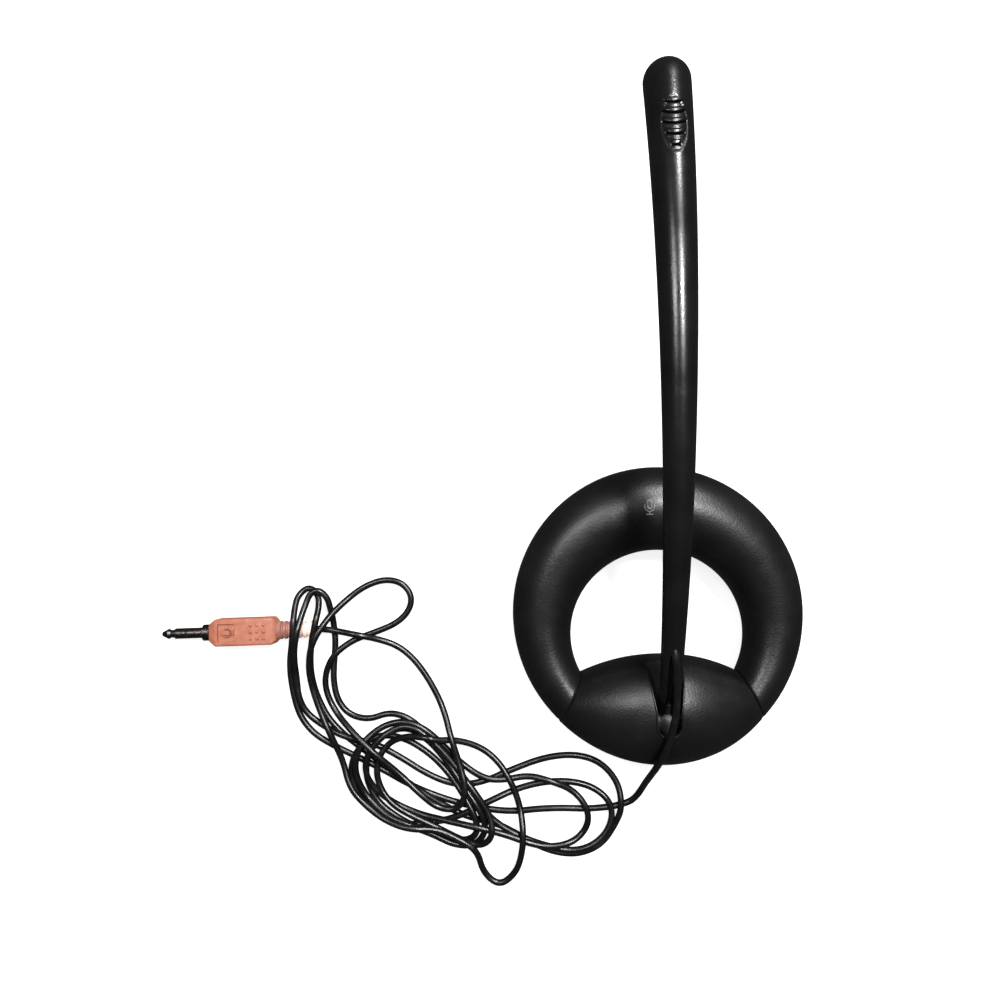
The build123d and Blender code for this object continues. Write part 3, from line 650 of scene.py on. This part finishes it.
# Control points of the free cord. A separate program made most of this list, from points read by eye: it
# moved them in plan and worked out their heights, so the list as a whole was not chosen by hand.
ROUTE = [
    EXIT,
    (-4.5, -18.0, 16.6), (-5.1, -21.6, 10.8), (-5.7, -25.4, 5.4), (-6.8, -28.6, 2.2), (-9.0, -30.8, 1.15),
    (-12.8, -31.8, 1.1), (-15.4, -32.4, 1.05), (-23.2, -33.0, 1.05), (-31.2, -32.6, 1.05),
    (-39.2, -32.8, 1.05), (-47.0, -33.6, 1.05), (-55.0, -33.0, 1.05), (-64.0, -31.2, 1.05),
    (-73.0, -28.4, 1.05), (-82.2, -24.6, 1.05), (-92.2, -18.8, 1.05), (-101.4, -14.4, 1.05),
    # the outer loop, over the plug's strain relief and back inside it
    (-108.4, -11.0, 1.05), (-114.6, -7.2, 1.05), (-119.2, -1.2, 1.05), (-121.4, 6.6, 1.05),
    (-122.2, 15.6, 2.4), (-120.2, 23.6, 6.2), (-119.6, 30.2, 7.0), (-119.7, 34.6, 5.0), (-119.2, 39.0, 3.0),
    (-115.6, 42.0, 1.8), (-112.0, 39.0, 3.2), (-111.5, 34.8, 5.0), (-112.2, 30.4, 7.0), (-114.0, 22.6, 5.8),
    (-115.2, 14.8, 2.0), (-114.4, 8.8, 1.05), (-112.4, 3.4, 1.05), (-109.2, -2.6, 1.05),
    (-104.0, -8.0, 1.05), (-96.8, -13.4, 1.05), (-88.2, -19.2, 2.2), (-79.2, -25.6, 3.0),
    (-70.6, -31.4, 1.6), (-62.0, -35.6, 1.05), (-53.0, -37.4, 1.05), (-45.0, -41.8, 1.05),
    (-39.0, -45.2, 1.05), (-32.0, -47.4, 1.05), (-25.0, -47.4, 1.05), (-18.2, -44.2, 1.05),
    (-13.8, -37.8, 1.05), (-11.8, -32.0, 3.2), (-12.6, -24.4, 1.05), (-18.4, -17.6, 1.05),
    (-26.8, -15.0, 1.05), (-37.2, -16.0, 1.05), (-48.2, -20.0, 1.05), (-58.2, -24.2, 1.05),
    (-67.2, -24.8, 1.05), (-76.2, -21.2, 1.05), (-85.2, -15.4, 1.05), (-93.8, -10.8, 1.05),
    (-102.4, -8.6, 3.0), (-110.6, -5.2, 1.05), (-116.6, -0.8, 1.05), (-119.2, 4.6, 2.0),
    (-119.8, 11.2, 2.0), (-119.8, 18.6, 5.6), (-118.4, 25.6, 8.6), (-117.2, 31.6, 6.8), (-115.9, 36.0, 5.4),
    (-114.6, 39.6, 5.0), (-111.8, 41.0, 5.0), (-108.9, 38.4, 4.2), (-107.9, 34.0, 3.4),
    (-107.4, 29.4, 1.05), (-106.8, 23.0, 1.05), (-107.4, 15.8, 1.05), (-107.6, 9.8, 1.05),
    (-106.2, 3.4, 1.05), (-102.2, -1.4, 1.05), (-95.6, -3.0, 1.05), (-89.0, -0.6, 1.05),
    (-82.8, -2.2, 1.05), (-77.4, -6.6, 1.05), (-72.2, -12.2, 1.05), (-67.2, -19.0, 1.05),
    (-62.6, -26.0, 2.6), (-58.0, -32.2, 3.0), (-51.6, -38.0, 3.0), (-43.0, -42.2, 3.0), (-36.0, -44.6, 2.4),
    (-29.0, -46.2, 2.4), (-22.6, -45.0, 2.4), (-17.2, -40.8, 2.4), (-14.8, -35.4, 1.8), (-15.8, -30.0, 2.2),
    (-20.4, -26.2, 1.05), (-27.2, -24.0, 1.05), (-36.2, -23.8, 1.05), (-46.2, -26.0, 1.05),
    (-56.0, -29.6, 3.8), (-65.0, -34.2, 3.0), (-74.0, -37.0, 1.05), (-84.0, -37.8, 1.05),
    (-92.6, -35.0, 1.05), (-99.2, -28.8, 1.05), (-102.2, -20.6, 1.05), (-100.0, -12.6, 2.8),
    (-92.8, -7.8, 1.6), (-84.4, -8.8, 1.05), (-76.2, -13.6, 1.05), (-69.6, -20.0, 1.05),
    (-63.8, -27.4, 3.6), (-59.8, -34.6, 5.2), (-59.6, -40.4, 2.6), (-63.8, -43.2, 1.05),
    (-71.0, -41.4, 1.05), (-79.0, -38.2, 3.0), (-87.0, -34.8, 1.4), (-93.6, -29.4, 1.05),
    (-97.0, -21.8, 1.05), (-95.8, -13.4, 3.0), (-90.0, -6.8, 3.0), (-82.4, -5.4, 1.05), (-75.2, -9.6, 3.0),
    (-69.0, -17.0, 3.0), (-63.2, -25.0, 5.0), (-57.8, -32.4, 6.4), (-56.6, -39.2, 3.4),
    (-60.4, -44.6, 1.05), (-67.2, -43.8, 2.8), (-74.4, -40.0, 3.2), (-82.6, -36.4, 5.0),
    (-90.6, -33.4, 3.0), (-97.6, -27.2, 1.05), (-100.4, -18.8, 3.4), (-98.2, -10.6, 5.2),
    (-91.6, -5.0, 2.2), (-83.6, -3.0, 2.6), (-76.2, -6.0, 2.8), (-69.8, -12.4, 2.0), (-63.8, -18.6, 1.05),
    (-56.8, -22.6, 2.6), (-50.2, -23.0, 2.0), (-42.2, -21.8, 1.05), (-34.8, -23.4, 3.0),
    (-28.2, -26.4, 1.4), (-24.0, -30.8, 2.4), (-22.6, -35.8, 2.0), (-24.2, -40.4, 1.05),
    (-28.6, -43.6, 2.2), (-35.0, -44.2, 4.2), (-42.0, -42.8, 5.0), (-51.0, -39.6, 4.6), (-60.0, -37.0, 6.0),
    (-69.6, -35.6, 3.6), (-79.4, -34.2, 1.05), (-89.0, -29.8, 1.05), (-95.8, -23.2, 2.8),
    (-96.6, -15.4, 5.0), (-91.8, -8.4, 5.4), (-84.4, -4.2, 4.0), (-78.4, -5.6, 4.8), (-71.2, -12.0, 4.6),
    (-65.2, -19.4, 4.6), (-59.4, -26.8, 6.0), (-55.0, -33.6, 5.8), (-54.4, -40.0, 7.0), (-58.8, -43.8, 4.4),
    (-66.0, -41.6, 2.8), (-73.4, -37.8, 2.8), (-81.4, -34.2, 2.8), (-88.4, -30.0, 3.0), (-92.8, -23.4, 2.2),
    (-92.8, -15.8, 3.0), (-88.4, -9.8, 2.2), (-81.6, -7.6, 4.8), (-75.4, -8.0, 6.6), (-72.4, -9.0, 5.8),
    (-65.8, -9.6, 2.8), (-58.2, -12.4, 1.05), (-52.2, -17.2, 1.4), (-47.8, -24.2, 3.0), (-45.2, -32.0, 2.6),
    (-44.4, -39.6, 6.2), (-45.2, -46.8, 5.0), (-47.2, -53.4, 1.6), (-52.6, -57.8, 1.05),
    (-58.0, -53.4, 1.05), (-59.6, -44.8, 4.8), (-66.0, -41.0, 4.8), (-73.2, -37.8, 4.8),
    (-81.6, -37.2, 7.0), (-90.0, -35.0, 4.6), (-97.0, -30.2, 3.2), (-102.0, -24.6, 3.0),
    (-104.4, -16.0, 1.6), (-107.8, -7.6, 4.2), (-111.6, 0.2, 3.0), (-114.4, 8.2, 3.0), (-115.2, 15.6, 4.8),
    (-113.2, 23.6, 8.4), (-108.6, 31.2, 6.4), (-103.2, 37.0, 2.4), (-97.2, 41.6, 1.05), (-90.2, 44.0, 1.05),
    (-84.2, 42.8, 1.05), (-80.8, 38.4, 1.05), (-81.6, 33.4, 1.05), (-86.0, 29.0, 1.05), (-93.8, 26.0, 1.05),
    (-101.0, 23.6, 1.05), (-106.8, 19.4, 3.0), (-110.2, 13.4, 1.2), (-110.4, 7.2, 1.05),
    (-107.4, 0.4, 1.05), (-101.0, -5.8, 4.8), (-93.2, -12.6, 6.8), (-85.6, -19.6, 4.2), (-78.4, -26.2, 5.2),
    (-72.4, -31.4, 4.4), (-65.4, -31.6, 5.0), (-62.6, -24.8, 7.2), (-65.2, -16.4, 5.4), (-67.8, -8.2, 5.6),
    (-70.4, 0.4, 1.4), (-74.6, 9.0, 1.05), (-80.0, 16.8, 1.05), (-85.8, 21.6, 1.05), (-92.4, 24.0, 2.2),
    (-98.4, 25.6, 5.0), (-105.0, 26.8, 3.5), (-109.6, 27.6, 3.6), (-112.8, 27.8, 3.6),
]
PLUG_TURN = math.radians(1.2)


def build_cord():
    """The free cord from the housing's back to the plug, and the short run inside the wand's slit."""
    main = new_curve("main_cord", ROUTE, CORD_D, 8)
    main.data.materials.append(CORD)
    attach(main, "root")
    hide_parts("cord_lead", "cord_hank")

    path = nurbs_points(EXIT_STUB + [EXIT], 8)
    stub = mesh_object("slit_cord", *round_tube(path, CORD_D / 2, 24))
    stub.data.materials.append(CORD)
    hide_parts("cord_tail")
    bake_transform(stub)
    return main, stub, path


# ---------------------------------------------------------------- plug
RELIEF_L, RELIEF_R = 12.0, 3.1
BODY_L, BODY_W, BODY_H = 22.7, 9.0, 7.2
BODY_STATIONS = ((0.0, 1.5), (0.25, 1.05), (1.3, 0.12), (1.7, 0.0), (20.0, 0.0), (20.5, 0.14), (22.2, 1.35),
                 (22.55, 1.6), (22.7, 1.9))      # distance along the body, inset
FRAME_BACK, FRAME_HALF, POCKET = 6.3, 2.9, 0.85   # the square pocket: from the body's end, half-side, depth
BUMPS_BACK, BUMP_R = 16.7, 0.56
BUMP_STEP_ALONG, BUMP_STEP_ACROSS = 2.15, 2.2
GROOVE_FIRST, GROOVE_LAST, GROOVE_PITCH, GROOVE_DEPTH = 1.2, 10.9, 1.62, 0.55
RELIEF_TAPER = 0.14


def plug_point(along, across, up):
    """A point on the plug, measured from the cord end of its strain relief."""
    turned = Matrix.Rotation(PLUG_TURN, 3, "Z") @ Vector((-along, across, up))
    return PLUG_END + turned


def rounded_block(half_w, half_h, corner, columns=10):
    """Across and up of a rectangle with round corners."""
    ring = []
    for k, (sx, sy) in enumerate(((1, 1), (-1, 1), (-1, -1), (1, -1))):
        for i in range(columns):
            turn = math.radians(90 * (k + i / (columns - 1)))
            ring.append((sx * (half_w - corner) + corner * math.cos(turn),
                         sy * (half_h - corner) + corner * math.sin(turn)))
    return ring


def raised(outline, low, high, points, faces):
    """Add a raised pad with a flat top: outline holds (along, across) on the plug's upper face."""
    first = len(points)
    count = len(outline)
    mid_a = sum(a for a, _ in outline) / count
    mid_c = sum(c for _, c in outline) / count
    for level, draw_in in ((low, 0.0), (high - 0.06, 0.0), (high, 0.06)):
        for a, c in outline:
            away = math.hypot(a - mid_a, c - mid_c)
            share = 1 - draw_in / away if away > 0 else 1
            points.append(plug_point(mid_a + (a - mid_a) * share, mid_c + (c - mid_c) * share, level))
    faces += grid_faces(3, count, True, first)
    faces.append(tuple(range(first, first + count)))
    faces.append(tuple(range(first + 2 * count, first + 3 * count)))


def bar(a0, c0, a1, c1, half):
    """Outline of a straight bar between two points with round ends."""
    heading = math.atan2(c1 - c0, a1 - a0)
    outline = []
    for a, c, start in ((a1, c1, heading - math.pi / 2), (a0, c0, heading + math.pi / 2)):
        for i in range(7):
            turn = start + math.pi * i / 6
            outline.append((a + half * math.cos(turn), c + half * math.sin(turn)))
    return outline


def ring_bars(mid_a, mid_c, radius, first, last, steps, half):
    """Short bars along an arc."""
    bars = []
    for i in range(steps):
        t0, t1 = (math.radians(first + (last - first) * (i + k) / steps) for k in (0, 1))
        bars.append(bar(mid_a + radius * math.cos(t0), mid_c + radius * math.sin(t0),
                        mid_a + radius * math.cos(t1), mid_c + radius * math.sin(t1), half))
    return bars


def build_plug_body():
    """Chamfered body with a square pocket, and the sign in it with nine finger bumps as one more piece."""
    sections = []
    for along, inset in BODY_STATIONS:
        ring = rounded_block(BODY_W / 2 - inset, BODY_H / 2 - inset * 0.75, 0.75)
        sections.append([plug_point(RELIEF_L + along, c, u) for c, u in ring])
    points, faces = tube_of(sections)
    top = BODY_H / 2
    end = RELIEF_L + BODY_L
    body = mesh_object("plug_body_shell", points, faces, 30)
    frame_a = end - FRAME_BACK
    square = [(frame_a + FRAME_HALF * a, FRAME_HALF * c) for a, c in ((-1, -1), (-1, 1), (1, 1), (1, -1))]
    rings = [[plug_point(a, c, level) for a, c in square] for level in (top - POCKET, top + 1.0)]
    cut_with(body, mesh_object("pocket_cutter", *tube_of(rings)))
    shade(body, 30)
    points, faces = [], []
    low, high = top - POCKET - 0.1, top - 0.06
    # the sign: a capsule lying along the plug, its cradle and a short stem
    raised(bar(frame_a + 0.9, 0.0, frame_a - 0.5, 0.0, 0.75), low, high, points, faces)
    for outline in ring_bars(frame_a - 0.35, 0.0, 1.3, 100, 260, 8, 0.13):
        raised(outline, low, high, points, faces)
    for side in (-1, 1):
        raised(bar(frame_a - 0.5, side * 1.3, frame_a + 0.7, side * 1.3, 0.13), low, high, points, faces)
    raised(bar(frame_a - 1.65, 0.0, frame_a - 2.15, 0.0, 0.13), low, high, points, faces)
    raised(bar(frame_a - 2.2, -0.8, frame_a - 2.2, 0.8, 0.13), low, high, points, faces)
    for i in range(3):
        for k in range(3):
            bump_a = end - BUMPS_BACK - BUMP_STEP_ALONG * (i - 1)
            dome(bump_a, BUMP_STEP_ACROSS * (k - 1), BUMP_R, top, points, faces)
    sign = mesh_object("plug_sign", points, faces, 30)
    finish_piece(sign, "root", "pink_plug", PINK)
    return finish_piece(body, "root", "pink_plug", PINK, "plug_body")


def dome(along, across, radius, top, points, faces):
    """Add a finger bump to the plug's upper face."""
    first = len(points)
    levels = 6
    columns = 20
    for r in range(levels):
        lean = math.radians(88 * r / (levels - 1))
        for c in range(columns):
            turn = math.tau * c / columns
            reach = radius * math.cos(lean)
            rise = -0.2 if r == 0 else radius * 0.85 * math.sin(lean)
            side = across + reach * math.sin(turn)
            points.append(plug_point(along + reach * math.cos(turn), side, top + rise))
    faces += grid_faces(levels, columns, True, first)
    faces.append(tuple(range(first, first + columns)))
    faces.append(tuple(range(first + (levels - 1) * columns, first + levels * columns)))


def build_relief():
    """Ribbed strain relief, paler where it thins at the cord."""
    sections = []
    for i in range(241):
        along = RELIEF_L * i / 240
        radius = RELIEF_R * (1 - RELIEF_TAPER + RELIEF_TAPER * along / RELIEF_L)
        if GROOVE_FIRST < along < GROOVE_LAST:
            wave = 0.5 - 0.5 * math.cos(math.tau * (along - GROOVE_FIRST) / GROOVE_PITCH)
            radius -= GROOVE_DEPTH * smooth_step(wave, 0.35, 0.8)
        radius -= 0.3 * (1 - smooth_step(along, 0.0, 0.4))
        ring = []
        for k in range(40):
            turn = math.tau * k / 40
            ring.append(plug_point(along, radius * math.cos(turn), radius * math.sin(turn)))
        sections.append(ring)
    relief = mesh_object("plug_relief_ribs", *tube_of(sections), 50)
    return finish_piece(relief, "root", "pink_plug", RELIEF, "plug_relief")


# ---------------------------------------------------------------- mark, CAD materials, stage
MARK_X, MARK_Y = -3.6, 66.4


def build_mark(cover):
    """A small pale microphone sign printed on the front of the ring, close to the wand."""
    surface = surface_of(cover)
    points, faces = [], []

    def pad(outline):
        """One printed patch that follows the ring's surface."""
        first = len(points)
        for lift in (-0.1, 0.04):
            for x, y in outline:
                points.append(highest_at(surface, x, y) + Vector((0, 0, lift)))
        count = len(outline)
        faces.extend(grid_faces(2, count, True, first))
        faces.append(tuple(range(first, first + count)))
        faces.append(tuple(range(first + count, first + 2 * count)))

    pad(bar(MARK_X, MARK_Y - 0.4, MARK_X, MARK_Y + 1.2, 0.8))
    for outline in ring_bars(MARK_X, MARK_Y - 0.3, 1.5, 180, 360, 8, 0.16):
        pad(outline)
    for side in (-1, 1):
        pad(bar(MARK_X + side * 1.5, MARK_Y - 0.3, MARK_X + side * 1.5, MARK_Y + 0.5, 0.16))
    pad(bar(MARK_X, MARK_Y - 1.8, MARK_X, MARK_Y - 2.6, 0.16))
    pad(bar(MARK_X - 1.0, MARK_Y - 2.7, MARK_X + 1.0, MARK_Y - 2.7, 0.16))
    mark = mesh_object("front_mark", points, faces)
    return finish_piece(mark, "root", "black_shell", PAINT)


PLUG_METAL = ("plug_collar", "plug_sleeve", "plug_ring", "plug_tip")
NODE_MATERIALS = (
    (NYLON, "base_plate", "pivot_yoke", "wand_hub"),
    (RUBBER, "rubber_feet", "friction_washers", "capsule_boot"),
    (FOAM, "foam_screens"),
    (CAN, "mic_capsule"),
    (CORD, "inner_cable"),
    (STEEL, "cord_clamp", "ring_ballast", "housing_ballast", "pivot_pin", "spring_washer", "pin_clip",
     "cover_screws", "yoke_screws"),
    (JACK, *PLUG_METAL),
    (INSULATOR, "plug_insulators"),
)


def paint_nodes():
    """Give each CAD node that shows itself its material."""
    for material, *names in NODE_MATERIALS:
        for name in names:
            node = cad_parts[name]
            node.data.materials.clear()
            node.data.materials.append(material)


FLOOR_HALF = 3000.0
LIGHT_AIM = (0, 40, 20)
# A separate program fitted the camera's place and directions to the outlines of the ring and the wand.
CAMERA_PLACE = (-45.25, 55.2, 266.0)
CAMERA_RIGHT, CAMERA_BACK = (0.9997, -0.0157, -0.0207), (0.0197, -0.0564, 0.9982)
LENS_MM, SENSOR_MM = 28.08, 36.0


def area_light(name, place, size, power):
    """A soft round light at a place in millimetres, aimed at the object; its size is in metres."""
    light = bpy.data.lights.new(name, "AREA")
    light.shape = "DISK"
    light.size = size
    light.energy = power
    lamp = bpy.data.objects.new(name, light)
    bpy.context.scene.collection.objects.link(lamp)
    lamp.location = Vector(place) * MM
    lamp.rotation_euler = (Vector(LIGHT_AIM) - Vector(place)).to_track_quat("-Z", "Y").to_euler()
    return lamp


def build_stage():
    """Pale table, soft light from above and the camera almost straight overhead."""
    corners = [(FLOOR_HALF * x, FLOOR_HALF * y, 0) for x, y in ((-1, -1), (1, -1), (1, 1), (-1, 1))]
    floor = mesh_object("floor", corners, [(0, 1, 2, 3)])
    material, _, shader = new_material("floor_pale", (0.4, 0.4, 0.4), 0.95)
    shader.inputs["Emission Color"].default_value = (1, 1, 1, 1)
    shader.inputs["Emission Strength"].default_value = 0.8
    floor.data.materials.append(material)
    floor.visible_glossy = False

    world = bpy.data.worlds.new("studio")
    world.use_nodes = True
    background = world.node_tree.nodes["Background"]
    background.inputs["Color"].default_value = (1, 1, 1, 1)
    background.inputs["Strength"].default_value = 0.05
    bpy.context.scene.world = world
    bpy.context.scene.view_settings.view_transform = "Standard"

    area_light("key", (230, 330, 880), 0.15, 9.0)
    area_light("side_key", (-330, 330, 850), 0.24, 3.2)
    area_light("front_key", (330, 860, 850), 0.22, 10.0)
    fill = area_light("fill", (60, 60, 900), 1.0, 4.0)
    fill.visible_glossy = False

    lens = bpy.data.cameras.new("camera")
    lens.lens = LENS_MM
    lens.sensor_width = SENSOR_MM
    lens.clip_start = 0.01
    camera = bpy.data.objects.new("camera", lens)
    bpy.context.scene.collection.objects.link(camera)
    right = Vector(CAMERA_RIGHT).normalized()
    back = Vector(CAMERA_BACK).normalized()
    up = back.cross(right).normalized()
    right = up.cross(back)
    turn = Matrix((right, up, back)).transposed()
    camera.matrix_world = Matrix.Translation(Vector(CAMERA_PLACE) * MM) @ turn.to_4x4()
    bpy.context.scene.camera = camera


build_stage()
cord, stub, stub_path = build_cord()
cover_piece = build_ring_cover()
build_housing()
build_wand()
plug_body = build_plug_body()
plug_relief = build_relief()
build_mark(cover_piece)
paint_nodes()
